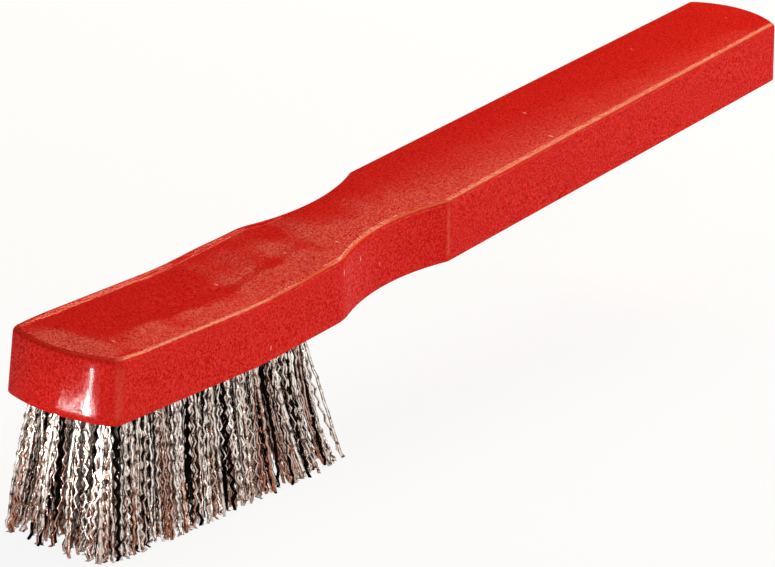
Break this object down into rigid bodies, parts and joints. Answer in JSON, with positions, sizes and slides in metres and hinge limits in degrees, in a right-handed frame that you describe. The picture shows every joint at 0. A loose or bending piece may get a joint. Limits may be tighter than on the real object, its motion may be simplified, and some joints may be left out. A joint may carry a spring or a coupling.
{
  "type": "hand wire brush",
  "caption": "Hand brush with a red moulded plastic head and handle in one piece, a waisted neck, and rows of splayed crimped steel wire tufts.",
  "frame": {"origin": "under the middle of the brush's box, on the plane that the bristle tips are trimmed to", "axes": "+X from the nose of the head to the end of the handle, +Y to the far side, +Z from the bristle tips up to the top of the head"},
  "size_m": [0.225, 0.0266, 0.0524],
  "materials": {
    "body_plastic": "glossy injection-moulded plastic with fine orange peel",
    "bristle_wire": "bright drawn and crimped steel wire",
    "anchor_steel": "flat rolled steel wire, cut to length"
  },
  "bodies": {
    "root": {"body": "body_plastic", "anchors_far": "anchor_steel", "anchors_far_mid": "anchor_steel", "anchors_near": "anchor_steel", "anchors_near_mid": "anchor_steel", "tuft_far_01": "bristle_wire", "tuft_far_02": "bristle_wire", "tuft_far_03": "bristle_wire", "tuft_far_04": "bristle_wire", "tuft_far_05": "bristle_wire", "tuft_far_06": "bristle_wire", "tuft_far_07": "bristle_wire", "tuft_far_08": "bristle_wire", "tuft_far_09": "bristle_wire", "tuft_far_10": "bristle_wire", "tuft_far_11": "bristle_wire", "tuft_far_12": "bristle_wire", "tuft_far_13": "bristle_wire", "tuft_far_mid_01": "bristle_wire", "tuft_far_mid_02": "bristle_wire", "tuft_far_mid_03": "bristle_wire", "tuft_far_mid_04": "bristle_wire", "tuft_far_mid_05": "bristle_wire", "tuft_far_mid_06": "bristle_wire", "tuft_far_mid_07": "bristle_wire", "tuft_far_mid_08": "bristle_wire", "tuft_far_mid_09": "bristle_wire", "tuft_far_mid_10": "bristle_wire", "tuft_far_mid_11": "bristle_wire", "tuft_far_mid_12": "bristle_wire", "tuft_far_mid_13": "bristle_wire", "tuft_near_01": "bristle_wire", "tuft_near_02": "bristle_wire", "tuft_near_03": "bristle_wire", "tuft_near_04": "bristle_wire", "tuft_near_05": "bristle_wire", "tuft_near_06": "bristle_wire", "tuft_near_07": "bristle_wire", "tuft_near_08": "bristle_wire", "tuft_near_09": "bristle_wire", "tuft_near_10": "bristle_wire", "tuft_near_11": "bristle_wire", "tuft_near_12": "bristle_wire", "tuft_near_13": "bristle_wire", "tuft_near_mid_01": "bristle_wire", "tuft_near_mid_02": "bristle_wire", "tuft_near_mid_03": "bristle_wire", "tuft_near_mid_04": "bristle_wire", "tuft_near_mid_05": "bristle_wire", "tuft_near_mid_06": "bristle_wire", "tuft_near_mid_07": "bristle_wire", "tuft_near_mid_08": "bristle_wire", "tuft_near_mid_09": "bristle_wire", "tuft_near_mid_10": "bristle_wire", "tuft_near_mid_11": "bristle_wire", "tuft_near_mid_12": "bristle_wire", "tuft_near_mid_13": "bristle_wire"}
  },
  "joints": []
}
